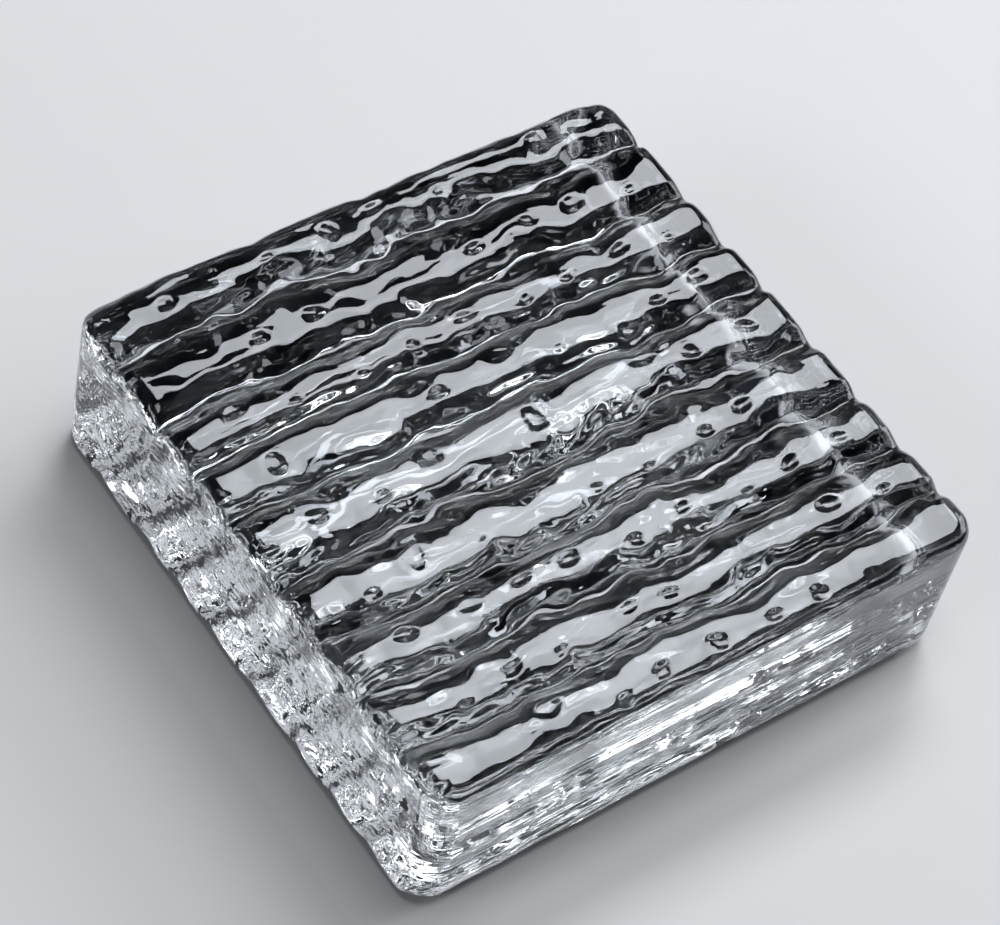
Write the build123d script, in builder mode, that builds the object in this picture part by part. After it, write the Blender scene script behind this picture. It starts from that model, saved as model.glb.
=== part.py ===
"""Solid cast glass block with ridged faces, for walls, screens and partitions.

The block lies on one of its large faces. X runs along the ridges, Y across them and Z is up.
The origin is at the centre of the footprint, on the plane that the lowest crests touch.
Lengths are in millimetres and angles in degrees.
"""

import os
from math import asin, ceil, degrees, pi, sin

from build123d import *

# Overall block
LENGTH = 200.0
WIDTH = 200.0
HEIGHT = 60.0
CORNER_RADIUS = 10.0
RIM_RADIUS = 5.0

# Ridges: flat-topped crests, with grooves between them that are wide and narrow in turn
RIDGE_PITCH = 22.9
PITCH_VARIATION = 3.0
RIDGES_PER_CYCLE = 4
CREST_FLAT = 3.0
GROOVE_DEPTH = 2.6
EDGE_BAND = 8.0
UPPER_SHIFT = -2.4
UNDERSIDE_SHIFT = 2.0

# The ridges wander sideways in long swings, with rounded bends between straight runs
SWING_LENGTH = 50.0
WANDER = 1.8
TIGHTEST_BEND = 20.0

# How far the ridged body passes the outline of the block, so that the outline trims it
OVERHANG = 12.0
LEAD_IN = 10.0


def ridge_line(level, upward, shift):
    """Draw one ridged edge of the cross-section; upward is 1 on top and -1 underneath."""
    count = int((WIDTH - 2 * EDGE_BAND) / RIDGE_PITCH)
    pitches = [RIDGE_PITCH - PITCH_VARIATION * sin(2 * pi * i / RIDGES_PER_CYCLE) for i in range(count)]
    crest = shift - sum(pitches) / 2
    reached = (-WIDTH / 2 - OVERHANG, level)
    for pitch in pitches:
        half = (pitch - CREST_FLAT) / 2
        valley = crest + pitch / 2
        radius = (half**2 + GROOVE_DEPTH**2) / (4 * GROOVE_DEPTH)
        turn = degrees(asin(half / 2 / radius)) * upward
        Line(reached, (valley - half, level))
        shoulder = JernArc((valley - half, level), (1, 0), radius, -turn)
        bottom = JernArc(shoulder @ 1, shoulder % 1, radius, 2 * turn)
        far_shoulder = JernArc(bottom @ 1, bottom % 1, radius, -turn)
        reached = far_shoulder @ 1
        crest += pitch
    Line(reached, (WIDTH / 2 + OVERHANG, level))


# Glass block: a slab with rounded corners and rims, cut to a ridged section swept along the wander
with BuildPart() as glass_block:
    with BuildSketch():
        RectangleRounded(LENGTH, WIDTH, CORNER_RADIUS)
    extrude(amount=HEIGHT)
    rims = glass_block.edges().group_by(Axis.Z)
    fillet(rims[0] + rims[-1], RIM_RADIUS)

    swings = ceil(LENGTH / SWING_LENGTH)
    reach = LENGTH / 2 + OVERHANG
    turns = [(LENGTH * ((i + 0.5) / swings - 0.5), WANDER * (-1) ** i) for i in range(swings)]
    with BuildLine() as wander:
        FilletPolyline(
            (-reach - LEAD_IN, 0), (-reach, 0), *turns, (reach, 0), (reach + LEAD_IN, 0),
            radius=WIDTH / 2 + OVERHANG + TIGHTEST_BEND,
        )
    with BuildSketch(Plane.YZ.offset(-reach - LEAD_IN)):
        with BuildLine():
            ridge_line(HEIGHT, 1, UPPER_SHIFT)
            ridge_line(0, -1, UNDERSIDE_SHIFT)
            Line((-WIDTH / 2 - OVERHANG, 0), (-WIDTH / 2 - OVERHANG, HEIGHT))
            Line((WIDTH / 2 + OVERHANG, 0), (WIDTH / 2 + OVERHANG, HEIGHT))
        make_face()
    sweep(path=wander.line, mode=Mode.INTERSECT)

glass_block.part.label = "glass_block"
os.makedirs("parts", exist_ok=True)
export_step(glass_block.part, "parts/glass_block.step")
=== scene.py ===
"""Solid cast glass block with rippled, ridged faces, lying on a pale studio floor."""

from math import cos, pi, radians, sin
from typing import NamedTuple

import bpy
from mathutils import Matrix, Quaternion, Vector


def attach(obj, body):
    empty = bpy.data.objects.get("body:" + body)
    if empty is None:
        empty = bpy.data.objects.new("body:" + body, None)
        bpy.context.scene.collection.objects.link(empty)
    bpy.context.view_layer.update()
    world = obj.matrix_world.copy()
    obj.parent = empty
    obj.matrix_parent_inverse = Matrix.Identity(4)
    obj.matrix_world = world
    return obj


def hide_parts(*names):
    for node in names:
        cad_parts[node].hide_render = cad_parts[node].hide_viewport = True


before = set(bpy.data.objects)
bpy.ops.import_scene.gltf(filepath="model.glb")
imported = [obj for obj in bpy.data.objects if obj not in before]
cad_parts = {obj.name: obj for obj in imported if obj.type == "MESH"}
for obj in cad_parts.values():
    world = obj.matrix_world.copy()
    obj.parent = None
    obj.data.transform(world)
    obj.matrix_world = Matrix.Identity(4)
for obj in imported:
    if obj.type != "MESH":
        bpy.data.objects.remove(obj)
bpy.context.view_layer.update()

BLOCK_HEIGHT = 0.060
BLOCK_CENTRE = Vector((0.0, 0.0, BLOCK_HEIGHT / 2))

# Size, relief and seed of the glass block, in metres, as inputs of its node tree
BLOCK_INPUTS = {
    "Length": 0.200,
    "Width": 0.200,
    "Height": BLOCK_HEIGHT,
    "Corner Radius": 0.010,
    "Rim Radius": 0.0045,
    "Ridge Pitch": 0.0229,
    "Ridge Height": 0.0033,
    "Underside Height": 0.0026,
    "First Crest": 0.0204,
    "Underside Pitch": 0.02156,
    "Underside Crest": 0.01944,
    "Crest Breadth": 3.6,
    "Underside Breadth": 1.6,
    "Bunching": 0.002,
    "Wander": 0.0060,
    "Waver": 0.0024,
    "Bead Spacing": 0.016,
    "Bead Height": 0.0006,
    "Ripple": 0.0004,
    "Eye Spacing": 0.020,
    "Eye Length": 0.0068,
    "Eye Breadth": 0.0050,
    "Eye Depth": 0.0006,
    "Eye Share": 0.85,
    "Skin": 0.0003,
    "Seed": 3.0,
}
BEAD_SEED_OFFSET = 19.0
UNDERSIDE_SEED_OFFSET = 41.0

# Points of the block's grid along the ridges, across them and up the sides
GRID_ALONG = 151
GRID_ACROSS = 265
GRID_UP = 23

# Wave across the block that bunches the ridges together
BUNCH_START = 0.030
BUNCH_LENGTH = 0.091

# Depth of the grooves as a share of the set one, and the ripple's share that is left on a crest
MEAN_DEPTH = 0.9
DEPTH_CHANGE = 0.25
CREST_RIPPLE = 0.15

# Beads and craters along the crests: the scatter of their places, and the range of a crater's size
BEAD_SCATTER = 0.45
EYE_SCATTER = 0.4
EYE_SMALLEST = 0.6
EYE_SIZE_RANGE = 0.8
EYE_SHALLOWEST = 0.5

# Clear glass, its duller patches, and the drawn streaks that differ from the top to the sides
GLASS_IOR = 1.5
GLASS_TINTS = ((0.90, 0.945, 1.0, 1.0), (0.95, 0.975, 1.0, 1.0))
SHINE_TINT = (0.92, 0.95, 1.0, 1.0)
PATCH_SCALE = 45.0
PATCH_DETAIL = 3.0
PATCH_ROUGHNESS = 0.02
STREAK_SCALE = 420.0
STREAK_DETAIL = 0.0
STREAK_STRETCH = 12.0
STREAK_RISE = 1.3
STREAK_DEPTH = 0.00030
CREST_STREAKS = 0.1
SIDE_STREAKS = 0.6
SIDE_WIDENING = 0.65
TOP_START = 0.045
TOP_BLEND = 0.008

# Studio
FLOOR_REACH = 6.0
FLOOR_TINTS = ((0.77, 0.77, 0.78, 1.0), (0.80, 0.80, 0.81, 1.0))
FLOOR_ROUGHNESS = 0.9
FLOOR_SHINE = 0.1
MOTTLE_SCALE = 6.0
MOTTLE_DETAIL = 4.0
WORLD_COLOUR = (0.016, 0.018, 0.024, 1.0)

# Camera of the photograph
CAMERA_PLACE = Vector((-0.4757, -0.4377, 0.8590))
CAMERA_VIEW = Vector((0.4511, 0.4217, -0.7865))
CAMERA_ROLL = radians(15.2)
CAMERA_LENS = 123.3
CAMERA_NEAR = 0.05
SENSOR_WIDTH = 36.0

# Soft boxes that face the block: name, place, width, height and watts
LAMP_COLOUR = (0.96, 0.98, 1.0)
SOFTBOXES = [
    ("softbox_left", (-1.85, 0.0, 1.2), 1.3, 0.6, 8.0),
    ("softbox_above", (0.0, 0.0, 2.3), 1.0, 0.8, 13.0),
    ("softbox_right", (2.0, -0.2, 0.85), 1.2, 0.9, 16.0),
    ("softbox_side", (1.85, 0.1, 1.5), 1.2, 0.45, 10.0),
]

# Lamps along the ridges: name, tilt in degrees of the glass that mirrors it to the camera,
# reach, length, width and watts
RIDGE_LAMPS = [
    ("softbox_over", -1.2, 2.1, 1.05, 0.58, 6.8),
    ("softbox_core", -1.2, 2.0, 0.50, 0.27, 0.3),
]
RIDGE_LAMP_SPREAD = radians(110.0)

# Narrow strips along the ridges, each mirrored by the sides of the ridges at one tilt
STRIP_TILTS = (-27.0, -20.0, -13.0, 13.0, 20.0)
STRIP_REACH = 2.1
STRIP_LENGTH = 1.3
STRIP_WIDTH = 0.03
STRIP_WATTS = 0.17

# Least length that is divided by
TINY = 1e-9


class Flow:
    """A node socket that Python's operators extend with Math nodes."""

    def __init__(self, tree, socket):
        self.tree = tree
        self.socket = socket

    def node(self, kind, settings=None, sockets=None, output=0):
        """Add a node: its type, its settings, and the values or links of its sockets."""
        made = self.tree.nodes.new(kind)
        for name, value in (settings or {}).items():
            setattr(made, name, value)
        for name, value in (sockets or {}).items():
            if isinstance(value, Flow):
                value.into(made.inputs[name])
            else:
                made.inputs[name].default_value = value
        return Flow(self.tree, made.outputs[output])

    def into(self, socket):
        """Link this flow to a node's input."""
        self.tree.links.new(self.socket, socket)

    def maths(self, operation, *others):
        sockets = dict(enumerate((self,) + others))
        return self.node("ShaderNodeMath", {"operation": operation}, sockets)

    def reflected(self, operation, other):
        return self.node("ShaderNodeMath", {"operation": operation}, {0: other, 1: self})

    def __add__(self, other):
        return self.maths("ADD", other)

    def __sub__(self, other):
        return self.maths("SUBTRACT", other)

    def __rsub__(self, other):
        return self.reflected("SUBTRACT", other)

    def __mul__(self, other):
        return self.maths("MULTIPLY", other)

    def __rmul__(self, other):
        return self.reflected("MULTIPLY", other)

    def __truediv__(self, other):
        return self.maths("DIVIDE", other)

    def __pow__(self, other):
        return self.maths("POWER", other)

    def __abs__(self):
        return self.maths("ABSOLUTE")

    def at_least(self, other):
        return self.maths("MAXIMUM", other)

    def at_most(self, other):
        return self.maths("MINIMUM", other)

    def less_than(self, other):
        return self.maths("LESS_THAN", other)

    def sine(self):
        return self.maths("SINE")

    def cosine(self):
        return self.maths("COSINE")

    def sign(self):
        return self.maths("SIGN")

    def root(self):
        return self.maths("SQRT")

    def exponent(self):
        return self.maths("EXPONENT")

    def vector(self, x, y, z):
        """A vector of three numbers or flows."""
        return self.node("ShaderNodeCombineXYZ", sockets={0: x, 1: y, 2: z})

    def parts(self):
        """The three numbers of a vector or colour."""
        first = self.node("ShaderNodeSeparateXYZ", sockets={0: self})
        return [Flow(self.tree, socket) for socket in first.socket.node.outputs]

    def noise(self, scale, detail):
        """Noise from 0 to 1 at this place."""
        sockets = {"Vector": self, "Scale": scale, "Detail": detail}
        return self.node("ShaderNodeTexNoise", sockets=sockets)

    def mixed(self, colours):
        """A colour between two, by this share of the second: sockets 6, 7 and 2 are the colour ones."""
        first, second = colours
        sockets = {0: self, 6: first, 7: second}
        return self.node("ShaderNodeMix", {"data_type": "RGBA"}, sockets, output=2)


class Noise(NamedTuple):
    """Noise over a face: its stretch along the ridges, scale, detail and offset of the seed."""

    stretch: float
    scale: float
    detail: float
    offset: float


WANDER_NOISE = Noise(stretch=1.3, scale=50.0, detail=1.0, offset=0.0)
WAVER_NOISE = Noise(stretch=1.2, scale=120.0, detail=1.0, offset=3.0)
DEPTH_NOISE = Noise(stretch=2.0, scale=28.0, detail=1.0, offset=7.0)
RIPPLE_NOISE = Noise(stretch=4.0, scale=230.0, detail=0.0, offset=13.0)


class Face(NamedTuple):
    """A ridged face: its first crest, pitch, depth of the grooves, breadth of the crests and seed."""

    first_crest: Flow | float
    pitch: Flow | float
    depth: Flow | float
    breadth: Flow | float
    seed: Flow | float


def upper_face(sizes):
    """The face on top, from sockets or from plain numbers."""
    return Face(
        first_crest=sizes["First Crest"],
        pitch=sizes["Ridge Pitch"],
        depth=sizes["Ridge Height"],
        breadth=sizes["Crest Breadth"],
        seed=sizes["Seed"],
    )


def under_face(sizes):
    """The face on the floor, with ridges of its own pitch and phase."""
    return Face(
        first_crest=sizes["Underside Crest"],
        pitch=sizes["Underside Pitch"],
        depth=sizes["Underside Height"],
        breadth=sizes["Underside Breadth"],
        seed=sizes["Seed"] + UNDERSIDE_SEED_OFFSET,
    )


def even_noise(flow, plan, noise, seed):
    """Noise from -1 to 1 over a plan position, stretched along the ridges."""
    x, y = plan
    place = flow.vector(x / noise.stretch, y, seed + noise.offset)
    return (place.noise(noise.scale, noise.detail) - 0.5) * 2.0


def ridge_count(flow, sizes, plan, face):
    """Ridges counted from a crest, over a face whose ridges bunch, wander and waver."""
    _, y = plan
    bunching = sizes["Bunching"] * ((y - BUNCH_START) * (2 * pi / BUNCH_LENGTH)).sine()
    wander = even_noise(flow, plan, WANDER_NOISE, face.seed) * sizes["Wander"]
    waver = even_noise(flow, plan, WAVER_NOISE, face.seed) * sizes["Waver"]
    return (y - face.first_crest + bunching + wander + waver) / face.pitch


def groove_share(ridge):
    """0 on the crests, 1 along the bottom of the grooves."""
    return (1.0 - (ridge * (2 * pi)).cosine()) * 0.5


def strongest_in_grooves(groove, on_crest):
    """A share that grows from its value on the crests to 1 along the bottom of the grooves."""
    return groove * (1.0 - on_crest) + on_crest


def crest_cells(flow, x, ridge, spacing, scatter, seed):
    """Cells along the crests: the way from a cell's middle, in spacings and ridges, and its chances."""
    along = x / spacing + seed
    across = ridge + scatter / 2
    middle = flow.node(
        "ShaderNodeTexVoronoi",
        {"voronoi_dimensions": "2D", "feature": "F1"},
        {"Vector": flow.vector(along, across, 0.0), "Scale": 1.0, "Randomness": scatter},
        output="Position",
    )
    middle_along, middle_across, _ = middle.parts()
    chances = Flow(flow.tree, middle.socket.node.outputs["Color"]).parts()
    return along - middle_along, across - middle_across, chances


def crest_beads(flow, sizes, x, ridge, seed):
    """Low bulges in a row along each crest, with shallow saddles between them."""
    along, _, _ = crest_cells(flow, x, ridge, sizes["Bead Spacing"], BEAD_SCATTER, seed)
    return along * along * sizes["Bead Height"]


def crest_eyes(flow, sizes, x, ridge, seed):
    """Small craters scattered along the crests: a flat hollow inside a faint raised ring."""
    spacing = sizes["Eye Spacing"]
    along, across, (draw, size, depth) = crest_cells(flow, x, ridge, spacing, EYE_SCATTER, seed)
    share_of_depth = depth * (1.0 - EYE_SHALLOWEST) + EYE_SHALLOWEST
    hollow = draw.less_than(sizes["Eye Share"]) * sizes["Eye Depth"] * share_of_depth
    swell = size * EYE_SIZE_RANGE + EYE_SMALLEST
    far_along = along * spacing / (sizes["Eye Length"] * swell * 0.5)
    far_across = across * sizes["Ridge Pitch"] / (sizes["Eye Breadth"] * swell * 0.5)
    away = far_along * far_along + far_across * far_across
    spread = away * away
    return hollow * (1.0 - spread) * (spread * -1.0).exponent()


def ridge_drop(flow, sizes, plan, face):
    """How far one ridged face lies below its highest crests, and the count of its ridges."""
    x, _ = plan
    ridge = ridge_count(flow, sizes, plan, face)
    groove = groove_share(ridge)
    share_of_depth = even_noise(flow, plan, DEPTH_NOISE, face.seed) * DEPTH_CHANGE + MEAN_DEPTH
    along_ridges = (x, ridge * face.pitch)
    ripple = even_noise(flow, along_ridges, RIPPLE_NOISE, face.seed) * sizes["Ripple"]
    pressed = groove ** face.breadth * share_of_depth * face.depth
    drop = pressed + sizes["Skin"] + strongest_in_grooves(groove, CREST_RIPPLE) * ripple
    return drop, ridge


def rounded_place(sizes, x, y, z):
    """A point of a plain box moved to rounded corners and rims: its plan, and its level from 0 to 1."""
    half_length = sizes["Length"] * 0.5
    half_width = sizes["Width"] * 0.5
    half_height = sizes["Height"] * 0.5
    corner = sizes["Corner Radius"]
    rim = sizes["Rim Radius"]

    # Rows of the grid crowd towards both rims
    height_up = abs((z / half_height * (pi / 2)).sine()) * half_height

    # Upright corners: the square past each corner's centre becomes a quarter disc
    past_x = (abs(x) - half_length + corner).at_least(0.0)
    past_y = (abs(y) - half_width + corner).at_least(0.0)
    past_square = past_x.at_least(past_y)
    past_round = (past_x * past_x + past_y * past_y).root().at_least(TINY)
    out_x = past_x / past_round
    out_y = past_y / past_round

    # Rims: the square section past the rim's centre line becomes a quarter disc too
    side = (rim - corner + past_square).at_least(0.0)
    up = (rim - half_height + height_up).at_least(0.0)
    square = side.at_least(up)
    round_off = square / (side * side + up * up).root().at_least(TINY)
    pull_in = past_square - side * (1.0 - round_off)
    lower = height_up - up * (1.0 - round_off)
    plan_x = x.sign() * (abs(x) - past_x + out_x * pull_in)
    plan_y = y.sign() * (abs(y) - past_y + out_y * pull_in)
    level = (z.sign() * lower / half_height + 1.0) * 0.5
    return plan_x, plan_y, level


def block_tree(material):
    """Geometry Nodes for the block: a gridded box, rounded, then pressed with the two ridged faces."""
    tree = bpy.data.node_groups.new("glass_block_nodes", "GeometryNodeTree")
    tree.interface.new_socket("Geometry", in_out="OUTPUT", socket_type="NodeSocketGeometry")
    for name in BLOCK_INPUTS:
        tree.interface.new_socket(name, in_out="INPUT", socket_type="NodeSocketFloat")
    group_in = tree.nodes.new("NodeGroupInput")
    group_out = tree.nodes.new("NodeGroupOutput")
    sizes = {name: Flow(tree, group_in.outputs[name]) for name in BLOCK_INPUTS}
    flow = sizes["Length"]

    box_size = flow.vector(sizes["Length"], sizes["Width"], sizes["Height"])
    grid = {"Vertices X": GRID_ALONG, "Vertices Y": GRID_ACROSS, "Vertices Z": GRID_UP}
    box = flow.node("GeometryNodeMeshCube", sockets={"Size": box_size, **grid})
    x, y, z = flow.node("GeometryNodeInputPosition").parts()
    plan_x, plan_y, level = rounded_place(sizes, x, y, z)
    plan = (plan_x, plan_y)

    # The upper face, whose highest points stay just under the block's height
    upper = upper_face(sizes)
    upper_ridges, ridge = ridge_drop(flow, sizes, plan, upper)
    beads = crest_beads(flow, sizes, plan_x, ridge, upper.seed + BEAD_SEED_OFFSET)
    eyes = crest_eyes(flow, sizes, plan_x, ridge, upper.seed)
    upper_drop = (upper_ridges + beads + eyes).at_least(0.0)

    # The underside, whose lowest crests touch the floor
    under_ridges, _ = ridge_drop(flow, sizes, plan, under_face(sizes))
    under_drop = (under_ridges - sizes["Skin"]).at_least(0.0)

    height = under_drop + level * (sizes["Height"] - upper_drop - under_drop)
    place = flow.vector(plan_x, plan_y, height)
    shaped = flow.node("GeometryNodeSetPosition", sockets={"Geometry": box, "Position": place})
    smooth = flow.node("GeometryNodeSetShadeSmooth", sockets={"Geometry": shaped})
    real = flow.node("GeometryNodeRealizeInstances", sockets={"Geometry": smooth})
    done = flow.node("GeometryNodeSetMaterial", sockets={"Geometry": real, "Material": material})
    done.into(group_out.inputs["Geometry"])
    return tree


def node_made(name, tree, inputs):
    """A plain mesh object made by a Geometry Nodes tree."""
    blank = bpy.data.meshes.new(name + "_blank")
    maker = bpy.data.objects.new(name + "_maker", blank)
    bpy.context.scene.collection.objects.link(maker)
    modifier = maker.modifiers.new("nodes", "NODES")
    modifier.node_group = tree
    for item in tree.interface.items_tree:
        if item.in_out == "INPUT" and item.name in inputs:
            modifier[item.identifier] = inputs[item.name]
    evaluated = maker.evaluated_get(bpy.context.evaluated_depsgraph_get())
    mesh = bpy.data.meshes.new_from_object(evaluated)
    mesh.name = name
    maker.modifiers.remove(modifier)
    bpy.data.objects.remove(maker)
    made = bpy.data.objects.new(name, mesh)
    bpy.context.scene.collection.objects.link(made)
    return made


def new_material(name):
    """A material, its Principled shader and the flow of its Object coordinates."""
    material = bpy.data.materials.new(name)
    material.use_nodes = True
    tree = material.node_tree
    shader = tree.nodes["Principled BSDF"]
    coordinates = tree.nodes.new("ShaderNodeTexCoord")
    return material, shader, Flow(tree, coordinates.outputs["Object"])


def clear_glass():
    """Clear glass with fine drawn streaks in its skin and slightly duller patches."""
    material, shader, place = new_material("clear_glass")
    shader.inputs["Transmission Weight"].default_value = 1.0
    shader.inputs["IOR"].default_value = GLASS_IOR
    shader.inputs["Specular Tint"].default_value = SHINE_TINT
    patches = place.noise(PATCH_SCALE, PATCH_DETAIL)
    (patches * PATCH_ROUGHNESS).into(shader.inputs["Roughness"])
    patches.mixed(GLASS_TINTS).into(shader.inputs["Base Color"])

    # Streaks follow the ridges on top, deepest in the grooves, and are wider on the sides
    x, y, z = place.parts()
    upper = upper_face(BLOCK_INPUTS)
    ridge = ridge_count(place, BLOCK_INPUTS, (x, y), upper)
    on_top = ((z - TOP_START) / TOP_BLEND).at_least(0.0).at_most(1.0)
    on_side = 1.0 - on_top
    across = ridge * upper.pitch * (1.0 - on_side * SIDE_WIDENING)
    drawn = place.vector(x / STREAK_STRETCH, across, z * STREAK_RISE)
    streaks = drawn.noise(STREAK_SCALE, STREAK_DETAIL)
    top_streaks = strongest_in_grooves(groove_share(ridge), CREST_STREAKS)
    relief = (streaks - 0.5) * (top_streaks * on_top + on_side * SIDE_STREAKS)
    bump_sockets = {"Strength": 1.0, "Distance": STREAK_DEPTH, "Height": relief}
    place.node("ShaderNodeBump", sockets=bump_sockets).into(shader.inputs["Normal"])
    return material


def pale_floor():
    """Pale matt floor with a barely visible mottle."""
    material, shader, place = new_material("pale_floor")
    place.noise(MOTTLE_SCALE, MOTTLE_DETAIL).mixed(FLOOR_TINTS).into(shader.inputs["Base Color"])
    shader.inputs["Roughness"].default_value = FLOOR_ROUGHNESS
    shader.inputs["Specular IOR Level"].default_value = FLOOR_SHINE
    return material


def add_floor():
    reach = FLOOR_REACH
    mesh = bpy.data.meshes.new("floor")
    corners = [(-reach, -reach, 0.0), (reach, -reach, 0.0), (reach, reach, 0.0), (-reach, reach, 0.0)]
    mesh.from_pydata(corners, [], [(0, 1, 2, 3)])
    mesh.materials.append(pale_floor())
    floor = bpy.data.objects.new("floor", mesh)
    bpy.context.scene.collection.objects.link(floor)


def add_world():
    world = bpy.data.worlds.new("studio")
    world.use_nodes = True
    world.node_tree.nodes["Background"].inputs["Color"].default_value = WORLD_COLOUR
    bpy.context.scene.world = world


def new_lamp(name, width, height, watts):
    """A rectangular lamp, still at the origin."""
    light = bpy.data.lights.new(name, "AREA")
    light.shape = "RECTANGLE"
    light.size = width
    light.size_y = height
    light.energy = watts
    light.color = LAMP_COLOUR
    lamp = bpy.data.objects.new(name, light)
    bpy.context.scene.collection.objects.link(lamp)
    return lamp


def add_softbox(name, place, width, height, watts):
    """A soft rectangular lamp that faces the block."""
    lamp = new_lamp(name, width, height, watts)
    lamp.location = place
    aim = BLOCK_CENTRE - Vector(place)
    lamp.rotation_euler = aim.to_track_quat("-Z", "Y").to_euler()


def add_ridge_lamp(name, tilt, reach, length, width, watts):
    """A lamp along the ridges, mirrored to the camera by glass at this tilt in degrees."""
    to_camera = (CAMERA_PLACE - BLOCK_CENTRE).normalized()
    normal = Vector((0.0, sin(radians(tilt)), cos(radians(tilt))))
    away = 2.0 * normal.dot(to_camera) * normal - to_camera
    across = away.cross(Vector((1.0, 0.0, 0.0))).normalized()
    along = across.cross(away)
    lamp = new_lamp(name, length, width, watts)
    lamp.data.spread = RIDGE_LAMP_SPREAD
    lamp.location = BLOCK_CENTRE + away * reach
    lamp.rotation_euler = Matrix((along, across, away)).transposed().to_euler()


def add_camera():
    lens = bpy.data.cameras.new("camera")
    lens.sensor_width = SENSOR_WIDTH
    lens.lens = CAMERA_LENS
    lens.clip_start = CAMERA_NEAR
    camera = bpy.data.objects.new("camera", lens)
    camera.location = CAMERA_PLACE
    level = CAMERA_VIEW.to_track_quat("-Z", "Y")
    camera.rotation_euler = (level @ Quaternion((0.0, 0.0, 1.0), CAMERA_ROLL)).to_euler()
    bpy.context.scene.collection.objects.link(camera)
    bpy.context.scene.camera = camera


block = node_made("rippled_block", block_tree(clear_glass()), BLOCK_INPUTS)
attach(block, "root")
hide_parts("glass_block")

add_floor()
add_world()
for ridge_lamp in RIDGE_LAMPS:
    add_ridge_lamp(*ridge_lamp)
for softbox in SOFTBOXES:
    add_softbox(*softbox)
for strip_tilt in STRIP_TILTS:
    add_ridge_lamp("strip", strip_tilt, STRIP_REACH, STRIP_LENGTH, STRIP_WIDTH, STRIP_WATTS)
add_camera()
bpy.context.scene.view_settings.view_transform = "Standard"
bpy.context.scene.cycles.caustics_refractive = False
